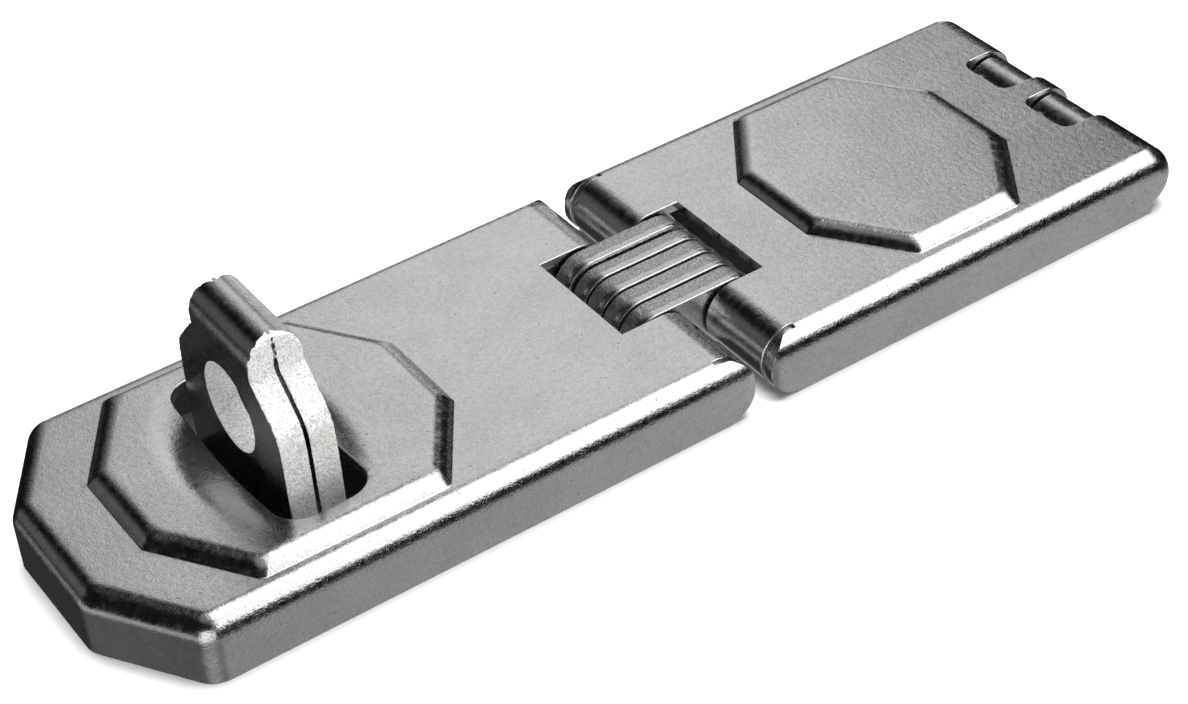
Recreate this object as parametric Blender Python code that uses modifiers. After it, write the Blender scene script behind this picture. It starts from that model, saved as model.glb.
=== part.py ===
"""A double-jointed hasp of plated steel, closed over its staple.

X runs along the hasp, from its nose (-X) to its hinge (+X), Y across it, and Z up from the
surface that it is screwed to. The origin lies on that surface, under the middle of the hasp.
"""
import math

import bmesh
import bpy
from mathutils import Matrix

# Driving dimensions, in metres.
LENGTH = 0.155
WIDTH = 0.046
HEIGHT = 0.0089
SHEET = 0.0013
CLEARANCE = 0.0003

# The two leaves: their ends along X, and their edges.
NOSE_X = -LENGTH / 2
HASP_END_X = NOSE_X + 0.0847
COVER_START_X = NOSE_X + 0.0871
HINGE_END_X = LENGTH / 2
NOSE_HALF = 0.0092
NOSE_CLIP = 0.0088
TOP_ROUND = 0.0028
CORNER_ROUND = 0.0036

# Rolled ends: the roll is as high as the leaf, and a pin lies along its middle.
ROLL_RADIUS = HEIGHT / 2
AXIS_Z = ROLL_RADIUS
HASP_PIN_X = HASP_END_X - ROLL_RADIUS
COVER_PIN_X = COVER_START_X + ROLL_RADIUS
HINGE_PIN_X = HINGE_END_X - ROLL_RADIUS
PIN_RADIUS = 0.0023
BORE_RADIUS = PIN_RADIUS + CLEARANCE
PIN_CHAMFER = 0.0003
PIN_LENGTH = WIDTH - 2 * SHEET - 2 * CLEARANCE

# The link: a stack of upright plates in a notch in each leaf.
LINK_PLATES = 5
LINK_THICKNESS = 0.00324
LINK_RADIUS = ROLL_RADIUS - 0.0001
NOTCH_HALF = 0.0091
HASP_NOTCH_X = NOSE_X + 0.0744
COVER_NOTCH_X = NOSE_X + 0.0962

# Raised octagonal pads: ends along X, half widths of the octagon, and the pressed slope.
PAD_RISE = 0.0015
PAD_SLOPE = 0.0016
HASP_PAD = {"start": NOSE_X + 0.0093, "end": NOSE_X + 0.0512, "half": 0.0199,
            "end_half": 0.0070, "clip": 0.0085}
COVER_PAD = {"start": NOSE_X + 0.1048, "end": NOSE_X + 0.1383, "half": 0.0196,
             "end_half": 0.0074, "clip": 0.0084}

# The staple: a strip folded double, with feet turned outwards, and its slot in the hasp leaf.
STAPLE_X = NOSE_X + 0.0293
STRIP = 0.0033
SLIT = 0.0006
FOLD_RADIUS = STRIP + SLIT / 2
STAPLE_TOP = 0.0300
STAPLE_HALF = 0.0124
STAPLE_TOP_HALF = 0.0073
SHOULDER_LOW = 0.0176
SHOULDER_HIGH = 0.0250
SHOULDER_ROUND = 0.0050
SHOULDER_TURN = 43
STAPLE_CORNER = 0.0008
EYE_RADIUS = 0.00575
EYE_Z = 0.0168
FOOT_LENGTH = 0.0195
FOOT_BEND = 0.0010
SLOT_X = NOSE_X + 0.0297
SLOT_SIZE = (0.0120, 0.0310)
SLOT_ROUND = 0.0035
DISH_RADIUS = 0.0110
DISH_DEPTH = 0.0026

# The hinge plate under the cover leaf, with two knuckles in the leaf's windows.
PLATE = 0.0025
PLATE_START_X = NOSE_X + 0.1041
PLATE_END_X = HINGE_PIN_X - ROLL_RADIUS - CLEARANCE
PLATE_HALF = 0.0205
PLATE_ROUND = 0.0030
KNUCKLE_RADIUS = 0.00375
WINDOW_X = NOSE_X + 0.1460
WINDOW_Y = (0.0018, 0.0104)

# Screw holes in the feet and in the hinge plate.
SCREW_RADIUS = 0.0024
SCREW_HEAD_RADIUS = 0.0045
FOOT_HOLE_REACH = 0.0137
FOOT_HOLE_Y = 0.0070
PLATE_HOLES_X = (NOSE_X + 0.1101, NOSE_X + 0.1361)
PLATE_HOLE_Y = 0.0135

ARC_STEPS = 8
OVERSHOOT = 0.0020
MERGE = 0.00001


def arc(centre, radius, start, end, steps=ARC_STEPS):
    """Points of an arc, from angle start to angle end in degrees."""
    angles = (math.radians(start + (end - start) * i / steps) for i in range(steps + 1))
    return [(centre[0] + radius * math.cos(a), centre[1] + radius * math.sin(a)) for a in angles]


def circle(centre, radius, steps=28):
    return arc(centre, radius, 0, 360, steps)[:-1]


def rounded(corners, radius, steps=4):
    """The outline through the corners, with each corner rounded to the radius."""
    outline = []
    for i, here in enumerate(corners):
        before = corners[i - 1]
        after = corners[(i + 1) % len(corners)]
        come = math.atan2(here[1] - before[1], here[0] - before[0])
        leave = math.atan2(after[1] - here[1], after[0] - here[0])
        turn = (leave - come + math.pi) % (2 * math.pi) - math.pi
        side = math.copysign(1, turn)
        back = radius * math.tan(abs(turn) / 2)
        tangent = (here[0] - back * math.cos(come), here[1] - back * math.sin(come))
        centre = (tangent[0] - side * radius * math.sin(come),
                  tangent[1] + side * radius * math.cos(come))
        start = math.degrees(come) - side * 90
        outline += arc(centre, radius, start, start + math.degrees(turn), steps)
    return outline


def rectangle(x0, x1, half):
    return [(x0, -half), (x1, -half), (x1, half), (x0, half)]


def octagon(pad, grow=0.0):
    """A pad's outline, moved outwards by grow: a long octagon across the leaf."""
    x0 = pad["start"] - grow
    x1 = pad["end"] + grow
    half = pad["half"] + grow
    end_half = pad["end_half"] + grow * 0.4
    clip = pad["clip"] + grow * 0.6
    return [(x0, -end_half), (x0 + clip, -half), (x1 - clip, -half), (x1, -end_half),
            (x1, end_half), (x1 - clip, half), (x0 + clip, half), (x0, end_half)]


def collection(name):
    made = bpy.data.collections.new(name)
    bpy.context.scene.collection.children.link(made)
    return made


def steel(name, colour, roughness):
    made = bpy.data.materials.new(name)
    made.use_nodes = True
    shader = made.node_tree.nodes["Principled BSDF"]
    shader.inputs["Base Color"].default_value = (*colour, 1.0)
    shader.inputs["Roughness"].default_value = roughness
    shader.inputs["Metallic"].default_value = 1.0
    return made


def add_object(name, mesh, where):
    made = bpy.data.objects.new(name, mesh)
    where.objects.link(made)
    return made


# Each maps an outline's own X and Y, and its thickness, to the axes of the hasp.
FLAT = Matrix.Identity(4)
ALONG_Y = Matrix(((1, 0, 0, 0), (0, 0, -1, 0), (0, 1, 0, 0), (0, 0, 0, 1)))
ALONG_X = Matrix(((0, 0, 1, 0), (1, 0, 0, 0), (0, 1, 0, 0), (0, 0, 0, 1)))


def extruded(name, outlines, thickness, where, turn=FLAT, offset=0.0):
    """A slab of the outlines, centred at offset along its own thickness."""
    curve = bpy.data.curves.new(name, "CURVE")
    curve.dimensions = "2D"
    curve.fill_mode = "BOTH"
    curve.extrude = thickness / 2
    for outline in outlines:
        spline = curve.splines.new("POLY")
        spline.points.add(len(outline) - 1)
        for point, place in zip(spline.points, outline):
            point.co = (place[0], place[1], 0.0, 1.0)
        spline.use_cyclic_u = True
    drawn = add_object(name + "_outline", curve, where)
    bpy.context.view_layer.update()
    evaluated = drawn.evaluated_get(bpy.context.evaluated_depsgraph_get())
    mesh = bpy.data.meshes.new_from_object(evaluated)
    bpy.data.objects.remove(drawn)
    bpy.data.curves.remove(curve)
    mesh.name = name
    welded = bmesh.new()
    welded.from_mesh(mesh)
    bmesh.ops.remove_doubles(welded, verts=welded.verts, dist=MERGE)
    bmesh.ops.recalc_face_normals(welded, faces=welded.faces)
    bmesh.ops.transform(welded, matrix=turn @ Matrix.Translation((0, 0, offset)), verts=welded.verts)
    welded.to_mesh(mesh)
    welded.free()
    return add_object(name, mesh, where)


def cylinder(name, radius, length, x, z, where, y=0.0, chamfer=0.0, sides=32):
    """A cylinder along Y, with its end edges rounded by the chamfer."""
    mesh = bpy.data.meshes.new(name)
    built = bmesh.new()
    bmesh.ops.create_cone(built, cap_ends=True, segments=sides, radius1=radius, radius2=radius,
                          depth=length, matrix=ALONG_Y)
    built.to_mesh(mesh)
    built.free()
    made = add_object(name, mesh, where)
    made.location = (x, y, z)
    if chamfer:
        bevel = made.modifiers.new("rounded_ends", "BEVEL")
        bevel.width = chamfer
        bevel.segments = 3
        bevel.limit_method = "ANGLE"
        bevel.angle_limit = math.radians(60)
    return made


def turned(name, profile, x, y, where, steps=32):
    """A solid turned about an upright axis from a profile that runs down its outer side."""
    mesh = bpy.data.meshes.new(name)
    built = bmesh.new()
    verts = [built.verts.new((radius, 0.0, height)) for radius, height in profile]
    for upper, lower in zip(verts, verts[1:]):
        built.edges.new((upper, lower))
    built.to_mesh(mesh)
    built.free()
    made = add_object(name, mesh, where)
    made.location = (x, y, 0.0)
    screw = made.modifiers.new("turned", "SCREW")
    screw.steps = steps
    screw.render_steps = steps
    screw.use_merge_vertices = True
    screw.merge_threshold = MERGE
    return made


def combine(target, other, operation):
    """Cut, join or trim the target by another solid, which becomes a hidden guide."""
    modifier = target.modifiers.new(other.name, "BOOLEAN")
    modifier.operation = operation
    modifier.solver = "EXACT"
    modifier.object = other
    other.hide_render = True
    other.display_type = "WIRE"


def block(name, outline, where, bottom=0.0, top=HEIGHT):
    return extruded(name, [outline], top - bottom, where, offset=(top + bottom) / 2)


def round_top(piece, radius, keep_flat):
    """Round the top edges of a block, apart from those where keep_flat(x) is true."""
    mesh = piece.data
    built = bmesh.new()
    built.from_mesh(mesh)
    top = max(vert.co.z for vert in built.verts)
    rim = [edge for edge in built.edges
           if all(abs(vert.co.z - top) < MERGE for vert in edge.verts)
           and edge.calc_face_angle(0.0) > 1.0
           and not all(keep_flat(vert.co.x) for vert in edge.verts)]
    bmesh.ops.bevel(built, geom=rim, offset=radius, offset_type="OFFSET", segments=3, profile=0.5,
                    affect="EDGES", clamp_overlap=True)
    built.to_mesh(mesh)
    built.free()


def raised_pad(name, pad, where, drop=0.0):
    """The octagonal frustum that is pressed up out of a leaf, lowered by drop."""
    mesh = bpy.data.meshes.new(name)
    built = bmesh.new()
    root = HEIGHT - OVERSHOOT / 2
    spread = PAD_SLOPE * (OVERSHOOT / 2) / PAD_RISE
    rings = []
    for grow, height in ((spread - drop, root - drop), (-PAD_SLOPE - drop, HEIGHT + PAD_RISE - drop)):
        rings.append([built.verts.new((x, y, height)) for x, y in octagon(pad, grow)])
    edges = [built.edges.new((ring[i - 1], ring[i])) for ring in rings for i in range(len(ring))]
    bmesh.ops.bridge_loops(built, edges=edges)
    bmesh.ops.holes_fill(built, edges=built.edges, sides=0)
    bmesh.ops.recalc_face_normals(built, faces=built.faces)
    built.to_mesh(mesh)
    built.free()
    return add_object(name, mesh, where)


def screw_hole(name, x, y, top, where):
    """A countersunk hole from the top face at height top down through the plate."""
    sink = SCREW_HEAD_RADIUS - SCREW_RADIUS
    profile = [(0.0, top + OVERSHOOT), (SCREW_HEAD_RADIUS, top + OVERSHOOT), (SCREW_HEAD_RADIUS, top),
               (SCREW_RADIUS, top - sink), (SCREW_RADIUS, -OVERSHOOT), (0.0, -OVERSHOOT)]
    return turned(name, profile, x, y, where, steps=20)


def sphere_profile(radius, depth, top, rim):
    """Profile of a lens: flat on top, and below a sphere that has the rim radius at height rim."""
    ball = (radius ** 2 + depth ** 2) / (2 * depth)
    middle = rim - depth + ball
    reach = math.sqrt(ball ** 2 - (middle - top) ** 2)
    spread = math.degrees(math.asin(reach / ball))
    side = arc((0.0, middle), ball, spread - 90, -90, ARC_STEPS)
    return [(0.0, top)] + side[:-1] + [(0.0, middle - ball)]


def leaf_blank(name, outline, pad, ends, where, guides):
    """A solid block with its pad, and rounded edges apart from those at the ends along X."""
    leaf = block(name, outline, where)
    round_top(leaf, TOP_ROUND, lambda x: any(abs(x - end) < MERGE for end in ends))
    combine(leaf, raised_pad(name + "_pad", pad, guides), "UNION")
    return leaf


def make_hasp_leaf(parts, guides):
    corners = [(HASP_PIN_X, WIDTH / 2), (NOSE_X + NOSE_CLIP, WIDTH / 2), (NOSE_X, NOSE_HALF),
               (NOSE_X, -NOSE_HALF), (NOSE_X + NOSE_CLIP, -WIDTH / 2), (HASP_PIN_X, -WIDTH / 2)]
    outline = corners[:1] + rounded(corners, CORNER_ROUND)[5:-5] + corners[-1:]
    leaf = leaf_blank("hasp_leaf", outline, HASP_PAD, [HASP_PIN_X], parts, guides)

    inner_half = WIDTH / 2 - SHEET
    inner_nose = NOSE_X + SHEET
    clip_shift = SHEET * 0.55
    inner = [(HASP_PIN_X + MERGE, -inner_half), (HASP_PIN_X + MERGE, inner_half),
             (NOSE_X + NOSE_CLIP + clip_shift, inner_half), (inner_nose, NOSE_HALF - clip_shift),
             (inner_nose, -NOSE_HALF + clip_shift), (NOSE_X + NOSE_CLIP + clip_shift, -inner_half)]
    hollow = block("hasp_hollow", inner, guides, -OVERSHOOT, HEIGHT - SHEET)
    combine(hollow, raised_pad("hasp_pad_hollow", HASP_PAD, guides, drop=SHEET), "UNION")
    combine(leaf, hollow, "DIFFERENCE")

    roll = cylinder("hasp_roll", ROLL_RADIUS, WIDTH, HASP_PIN_X, AXIS_Z, guides, chamfer=TOP_ROUND)
    combine(leaf, roll, "UNION")

    pad_top = HEIGHT + PAD_RISE
    under = sphere_profile(DISH_RADIUS, DISH_DEPTH, pad_top - SHEET / 2, pad_top - SHEET)
    combine(leaf, turned("dish_under", under, SLOT_X, 0.0, guides), "UNION")
    over = sphere_profile(DISH_RADIUS, DISH_DEPTH, pad_top + OVERSHOOT / 4, pad_top)
    combine(leaf, turned("dish_over", over, SLOT_X, 0.0, guides), "DIFFERENCE")
    slot_outline = rounded(rectangle(SLOT_X - SLOT_SIZE[0] / 2, SLOT_X + SLOT_SIZE[0] / 2,
                                     SLOT_SIZE[1] / 2), SLOT_ROUND)
    slot = block("staple_slot", slot_outline, guides, HEIGHT / 2, pad_top + OVERSHOOT)
    combine(leaf, slot, "DIFFERENCE")

    bore = cylinder("hasp_bore", BORE_RADIUS, WIDTH - 2 * SHEET, HASP_PIN_X, AXIS_Z, guides)
    combine(leaf, bore, "DIFFERENCE")
    notch = block("hasp_notch", rectangle(HASP_NOTCH_X, HASP_END_X + OVERSHOOT, NOTCH_HALF), guides,
                  -OVERSHOOT, HEIGHT + OVERSHOOT)
    combine(leaf, notch, "DIFFERENCE")
    return leaf


def make_cover_leaf(parts, guides):
    outline = rectangle(COVER_PIN_X, HINGE_PIN_X, WIDTH / 2)
    leaf = leaf_blank("cover_leaf", outline, COVER_PAD, [COVER_PIN_X, HINGE_PIN_X], parts, guides)
    inner = rectangle(COVER_PIN_X - MERGE, HINGE_PIN_X + MERGE, WIDTH / 2 - SHEET)
    hollow = block("cover_hollow", inner, guides, -OVERSHOOT, HEIGHT - SHEET)
    combine(hollow, raised_pad("cover_pad_hollow", COVER_PAD, guides, drop=SHEET), "UNION")
    combine(leaf, hollow, "DIFFERENCE")
    for end, x in (("link", COVER_PIN_X), ("hinge", HINGE_PIN_X)):
        roll = cylinder("cover_%s_roll" % end, ROLL_RADIUS, WIDTH, x, AXIS_Z, guides, chamfer=TOP_ROUND)
        combine(leaf, roll, "UNION")
        bore = cylinder("cover_%s_bore" % end, BORE_RADIUS, WIDTH - 2 * SHEET, x, AXIS_Z, guides)
        combine(leaf, bore, "DIFFERENCE")
    notch = block("cover_notch", rectangle(COVER_START_X - OVERSHOOT, COVER_NOTCH_X, NOTCH_HALF), guides,
                  -OVERSHOOT, HEIGHT + OVERSHOOT)
    combine(leaf, notch, "DIFFERENCE")
    for side in (-1, 1):
        near, far = sorted(side * y for y in WINDOW_Y)
        place = "near" if side < 0 else "far"
        for part, start, top in (("window", WINDOW_X, HEIGHT + OVERSHOOT),
                                 ("knuckle_room", PLATE_END_X, HEIGHT - SHEET)):
            corners = [(start, near), (HINGE_END_X + OVERSHOOT, near),
                       (HINGE_END_X + OVERSHOOT, far), (start, far)]
            room = block("%s_%s" % (part, place), corners, guides, -OVERSHOOT, top)
            combine(leaf, room, "DIFFERENCE")
    return leaf


def make_link_plates(parts):
    """Upright stadium plates round the two link pins."""
    body = (arc((HASP_PIN_X, AXIS_Z), LINK_RADIUS, 90, 270)
            + arc((COVER_PIN_X, AXIS_Z), LINK_RADIUS, -90, 90))
    holes = [circle((x, AXIS_Z), BORE_RADIUS) for x in (HASP_PIN_X, COVER_PIN_X)]
    pitch = LINK_THICKNESS + CLEARANCE
    plates = []
    for i in range(LINK_PLATES):
        y = (i - (LINK_PLATES - 1) / 2) * pitch
        plates.append(extruded("link_plate_%d" % (i + 1), [body] + holes, LINK_THICKNESS, parts,
                               ALONG_Y, offset=-y))
    return plates


def strip_section():
    """Section of the folded strip, seen along Y: two layers, a round fold and two feet."""
    inner = SLIT / 2
    fold_z = STAPLE_TOP - FOLD_RADIUS
    bend = (FOLD_RADIUS + FOOT_BEND, STRIP + FOOT_BEND)
    right = ([(inner * math.sin(math.radians(a)), fold_z + inner * math.cos(math.radians(a)))
              for a in (0, 45, 90)]
             + arc(bend, STRIP + FOOT_BEND, 180, 270)
             + [(FOOT_LENGTH, 0.0), (FOOT_LENGTH, STRIP)]
             + arc(bend, FOOT_BEND, 270, 180, 4)
             + arc((0.0, fold_z), FOLD_RADIUS, 0, 90))
    left = [(-x, z) for x, z in reversed(right) if x > MERGE]
    return [(STAPLE_X + x, z) for x, z in right + left]


def make_staple(parts, guides):
    staple = extruded("staple", [strip_section()], 2 * STAPLE_HALF + OVERSHOOT, parts, ALONG_Y)
    near = [(STAPLE_HALF, -OVERSHOOT)]
    near += arc((STAPLE_HALF - SHOULDER_ROUND, SHOULDER_LOW), SHOULDER_ROUND, 0, SHOULDER_TURN)
    near.append((STAPLE_TOP_HALF, SHOULDER_HIGH))
    near += arc((STAPLE_TOP_HALF - STAPLE_CORNER, STAPLE_TOP - STAPLE_CORNER), STAPLE_CORNER, 0, 90)
    outline = near + [(-y, z) for y, z in reversed(near)]
    eye = circle((0.0, EYE_Z), EYE_RADIUS)
    face = extruded("staple_face", [outline, eye], 2 * FOOT_LENGTH + OVERSHOOT,
                    guides, ALONG_X, offset=STAPLE_X)
    combine(staple, face, "INTERSECT")
    for i, (reach, y) in enumerate((a, b) for a in (-1, 1) for b in (-1, 1)):
        hole = screw_hole("foot_hole_%d" % (i + 1), STAPLE_X + reach * FOOT_HOLE_REACH, y * FOOT_HOLE_Y,
                          STRIP, guides)
        combine(staple, hole, "DIFFERENCE")
    return staple


def make_hinge_plate(parts, guides):
    outline = rounded(rectangle(PLATE_START_X, PLATE_END_X, PLATE_HALF), PLATE_ROUND)
    plate = block("hinge_plate", outline, parts, 0.0, PLATE)
    length = WINDOW_Y[1] - WINDOW_Y[0] - 2 * CLEARANCE
    centre = (WINDOW_Y[0] + WINDOW_Y[1]) / 2
    bottom = AXIS_Z - KNUCKLE_RADIUS
    for side, name in ((-1, "near"), (1, "far")):
        corners = [(PLATE_END_X - 2 * PLATE, side * centre - length / 2),
                   (HINGE_PIN_X, side * centre - length / 2),
                   (HINGE_PIN_X, side * centre + length / 2),
                   (PLATE_END_X - 2 * PLATE, side * centre + length / 2)]
        tongue = block("tongue_" + name, corners, guides, bottom, PLATE)
        combine(plate, tongue, "UNION")
        knuckle = cylinder("knuckle_" + name, KNUCKLE_RADIUS, length, HINGE_PIN_X, AXIS_Z, guides,
                           y=side * centre)
        combine(plate, knuckle, "UNION")
    bore = cylinder("hinge_plate_bore", BORE_RADIUS, WIDTH, HINGE_PIN_X, AXIS_Z, guides)
    combine(plate, bore, "DIFFERENCE")
    for i, (x, y) in enumerate((a, b) for a in PLATE_HOLES_X for b in (-PLATE_HOLE_Y, PLATE_HOLE_Y)):
        combine(plate, screw_hole("plate_hole_%d" % (i + 1), x, y, PLATE, guides), "DIFFERENCE")
    return plate


def make_pin(name, x, parts):
    return cylinder(name, PIN_RADIUS, PIN_LENGTH, x, AXIS_Z, parts, chamfer=PIN_CHAMFER, sides=28)


def make_axis(name, x, where, parent=None):
    """An empty on a joint's axis, which carries what turns about it."""
    made = add_object(name, None, where)
    made.location = (x, 0.0, AXIS_Z)
    made.empty_display_size = ROLL_RADIUS
    if parent:
        made.location.x -= parent.matrix_world.translation.x
        made.location.z = 0.0
        made.parent = parent
    bpy.context.view_layer.update()
    return made


def carry(axis, pieces):
    """Parent pieces, with the guides that shape them, to a joint's axis."""
    waiting = list(pieces)
    while waiting:
        piece = waiting.pop()
        if piece.parent:
            continue
        piece.parent = axis
        piece.matrix_parent_inverse = axis.matrix_world.inverted()
        waiting += [mod.object for mod in piece.modifiers if mod.type == "BOOLEAN"]


def finish(piece, colour, roughness):
    piece.data.materials.clear()
    piece.data.materials.append(steel(piece.name + "_steel", colour, roughness))
    piece.data.shade_smooth()
    piece.data.set_sharp_from_angle(angle=math.radians(30))


def main():
    for old in list(bpy.data.objects):
        bpy.data.objects.remove(old)
    parts = collection("hasp_and_staple")
    guides = collection("cutters")

    hinge_plate = make_hinge_plate(parts, guides)
    hinge_pin = make_pin("hinge_pin", HINGE_PIN_X, parts)
    cover_leaf = make_cover_leaf(parts, guides)
    cover_link_pin = make_pin("cover_link_pin", COVER_PIN_X, parts)
    plates = make_link_plates(parts)
    hasp_link_pin = make_pin("hasp_link_pin", HASP_PIN_X, parts)
    hasp_leaf = make_hasp_leaf(parts, guides)
    staple = make_staple(parts, guides)

    cover_axis = make_axis("cover_axis", HINGE_PIN_X, guides)
    link_axis = make_axis("link_axis", COVER_PIN_X, guides, cover_axis)
    hasp_axis = make_axis("hasp_axis", HASP_PIN_X, guides, link_axis)
    carry(cover_axis, [cover_leaf, hinge_pin, cover_link_pin])
    carry(link_axis, plates)
    carry(hasp_axis, [hasp_leaf, hasp_link_pin, staple])

    for piece in (hasp_leaf, cover_leaf):
        finish(piece, (0.60, 0.59, 0.57), 0.34)
    for piece in plates:
        finish(piece, (0.64, 0.63, 0.61), 0.42)
    for piece in (hinge_pin, cover_link_pin, hasp_link_pin):
        finish(piece, (0.55, 0.55, 0.54), 0.30)
    finish(hinge_plate, (0.58, 0.57, 0.55), 0.38)
    finish(staple, (0.62, 0.61, 0.58), 0.36)


main()
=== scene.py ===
"""Looks of a double-jointed hasp of plated steel, closed over its staple.

Lengths are in millimetres. X runs along the hasp, from its nose to its hinge, Y across it and Z
up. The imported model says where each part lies, and fine pressed meshes stand in for its solids.
"""
import math

import bmesh
import bpy
import numpy as np
from mathutils import Matrix, Vector, noise
from mathutils.bvhtree import BVHTree
from mathutils.geometry import delaunay_2d_cdt


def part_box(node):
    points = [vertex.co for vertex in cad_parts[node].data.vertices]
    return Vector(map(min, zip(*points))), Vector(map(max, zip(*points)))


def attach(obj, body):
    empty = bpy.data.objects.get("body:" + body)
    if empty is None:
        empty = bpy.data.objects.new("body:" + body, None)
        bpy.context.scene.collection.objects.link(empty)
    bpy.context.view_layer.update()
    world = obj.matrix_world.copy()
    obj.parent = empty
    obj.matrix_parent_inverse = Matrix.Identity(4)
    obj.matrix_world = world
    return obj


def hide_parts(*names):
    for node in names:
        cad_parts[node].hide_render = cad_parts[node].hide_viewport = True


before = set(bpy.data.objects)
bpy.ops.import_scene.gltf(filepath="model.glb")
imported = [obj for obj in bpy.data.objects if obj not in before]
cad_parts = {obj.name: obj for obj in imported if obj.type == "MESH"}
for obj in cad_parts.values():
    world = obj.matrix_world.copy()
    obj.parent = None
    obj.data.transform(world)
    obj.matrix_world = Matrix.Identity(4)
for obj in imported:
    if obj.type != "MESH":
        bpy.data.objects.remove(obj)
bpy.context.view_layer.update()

MM = 0.001


def box(node):
    """A node's lowest and highest corner, in millimetres."""
    low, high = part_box(node)
    return Vector(low) / MM, Vector(high) / MM


def middle(node):
    """The middle of a node's box."""
    low, high = box(node)
    return (low + high) / 2


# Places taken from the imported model.
HASP_LOW, HASP_HIGH = box("hasp_leaf")
COVER_LOW, COVER_HIGH = box("cover_leaf")
STAPLE_LOW, STAPLE_HIGH = box("staple")
HINGE_LOW, HINGE_HIGH = box("hinge_plate")
NOSE_X = HASP_LOW.x
HASP_PIN_X = middle("hasp_link_pin").x
COVER_PIN_X = middle("cover_link_pin").x
HINGE_PIN_X = middle("hinge_pin").x
AXIS_Z = middle("hinge_pin").z
HALF = HASP_HIGH.y
ROLL = AXIS_Z
HEIGHT = 2 * AXIS_Z
PAD_TOP = HASP_HIGH.z

# The leaves: sheet, edges and pressed forms.
SHEET = 1.3
GAP = 0.3
TOP_ROUND = 2.8
CORNER_ROUND = 3.6
NOSE_HALF = 9.2
NOSE_CLIP = 8.8
BORE = 2.6
PAD_ARC = 3.0
PAD_STEEP = 60
PAD_CREASE = 0.30
HASP_PAD = {"start": NOSE_X + 9.3, "end": NOSE_X + 51.2, "half": 19.9, "end_half": 7.0, "clip": 8.5}
COVER_PAD = {"start": NOSE_X + 104.8, "end": NOSE_X + 138.3, "half": 19.6, "end_half": 7.4,
             "clip": 8.4}

# The notches for the link, and the windows for the hinge's knuckles.
NOTCH_HALF = 9.1
HASP_NOTCH_X = NOSE_X + 74.4
COVER_NOTCH_X = NOSE_X + 96.2
WINDOW_X = NOSE_X + 146.0
WINDOW_Y = (1.8, 10.4)
WINDOW_ROUND = 1.5
LIP = 0.20
EAR_ROUND = 0.35
GROOVE_Y = 20.9

# The slot for the staple, and the dish that its pressing draws down.
SLOT_X = NOSE_X + 29.7
SLOT_HALF_X = 6.0
SLOT_HALF_Y = 15.5
SLOT_ROUND = 3.5
DISH_REACH = (13.0, 18.5)
DISH_BEND = 3.0
DISH_SLOPE = 0.32
DISH_PINCH = 1.35

# The staple: a strip folded double.
STAPLE_X = (STAPLE_LOW.x + STAPLE_HIGH.x) / 2
STRIP = 3.4
SLIT = 0.4
FOLD = STRIP + SLIT / 2
STAPLE_HALF = 12.4
STAPLE_TOP_HALF = 7.3
SHOULDER_LOW = 17.6
SHOULDER_HIGH = 25.0
SHOULDER_ROUND = 5.0
SHOULDER_TURN = 43
STAPLE_CORNER = 0.8
EYE = 5.75
EYE_Z = 16.8
FOOT = STAPLE_HIGH.x - STAPLE_X
FOOT_BEND = 1.0
FOOT_HOLE = (13.7, 7.0)
TORN_ABOVE = 13.0

# The link: how far across each plate's cut edge the torn band starts.
TORN_BAND = -0.5
WIDE_GAP_AFTER = 4

# The hinge plate and its screw holes.
PLATE = 2.5
PLATE_ROUND = 3.0
KNUCKLE = 3.75
PLATE_HOLES_X = (NOSE_X + 110.1, NOSE_X + 136.1)
PLATE_HOLE_Y = 13.5
SCREW = 2.4
SCREW_HEAD = 4.5

# How far cutters reach past what they cut, which vertices are one, and which edges look sharp.
OVER = 2.0
WELD = 0.002
SMOOTH_BELOW = math.radians(32)

# The floor's reach each way.
FLOOR = 3000.0


# ---------------------------------------------------------------- outlines

def arc(centre, radius, start, end, steps=10):
    """Points of an arc, from angle start to angle end in degrees."""
    angles = (math.radians(start + (end - start) * i / steps) for i in range(steps + 1))
    return [(centre[0] + radius * math.cos(a), centre[1] + radius * math.sin(a)) for a in angles]


def inset(corners, distance):
    """The corners of a convex, anticlockwise polygon with its sides moved inwards."""
    moved = []
    for i, here in enumerate(corners):
        before = Vector(here) - Vector(corners[i - 1])
        after = Vector(corners[(i + 1) % len(corners)]) - Vector(here)
        first = Vector((-before.y, before.x)).normalized()
        second = Vector((-after.y, after.x)).normalized()
        moved.append(Vector(here) + (first + second) * distance / (1 + first.dot(second)))
    return [tuple(corner) for corner in moved]


def rounded(corners, radius, steps=8, straight=1):
    """The outline through the corners, each rounded, with its straight sides divided."""
    outline = []
    for i, here in enumerate(corners):
        before = corners[i - 1]
        after = corners[(i + 1) % len(corners)]
        come = math.atan2(here[1] - before[1], here[0] - before[0])
        leave = math.atan2(after[1] - here[1], after[0] - here[0])
        turn = (leave - come + math.pi) % (2 * math.pi) - math.pi
        side = math.copysign(1, turn)
        back = radius * math.tan(abs(turn) / 2)
        tangent = (here[0] - back * math.cos(come), here[1] - back * math.sin(come))
        centre = (tangent[0] - side * radius * math.sin(come),
                  tangent[1] + side * radius * math.cos(come))
        start = math.degrees(come) - side * 90
        bend = arc(centre, radius, start, start + math.degrees(turn), steps)
        if outline:
            outline += between(outline[-1], bend[0], straight)
        outline += bend
    return outline + between(outline[-1], outline[0], straight)


def between(first, last, parts):
    """The points that divide a straight side into parts."""
    return [tuple(Vector(first).lerp(Vector(last), i / parts)) for i in range(1, parts)]


def rectangle(x0, x1, y0, y1):
    """Its corners, anticlockwise."""
    return [(x0, y0), (x1, y0), (x1, y1), (x0, y1)]


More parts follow.
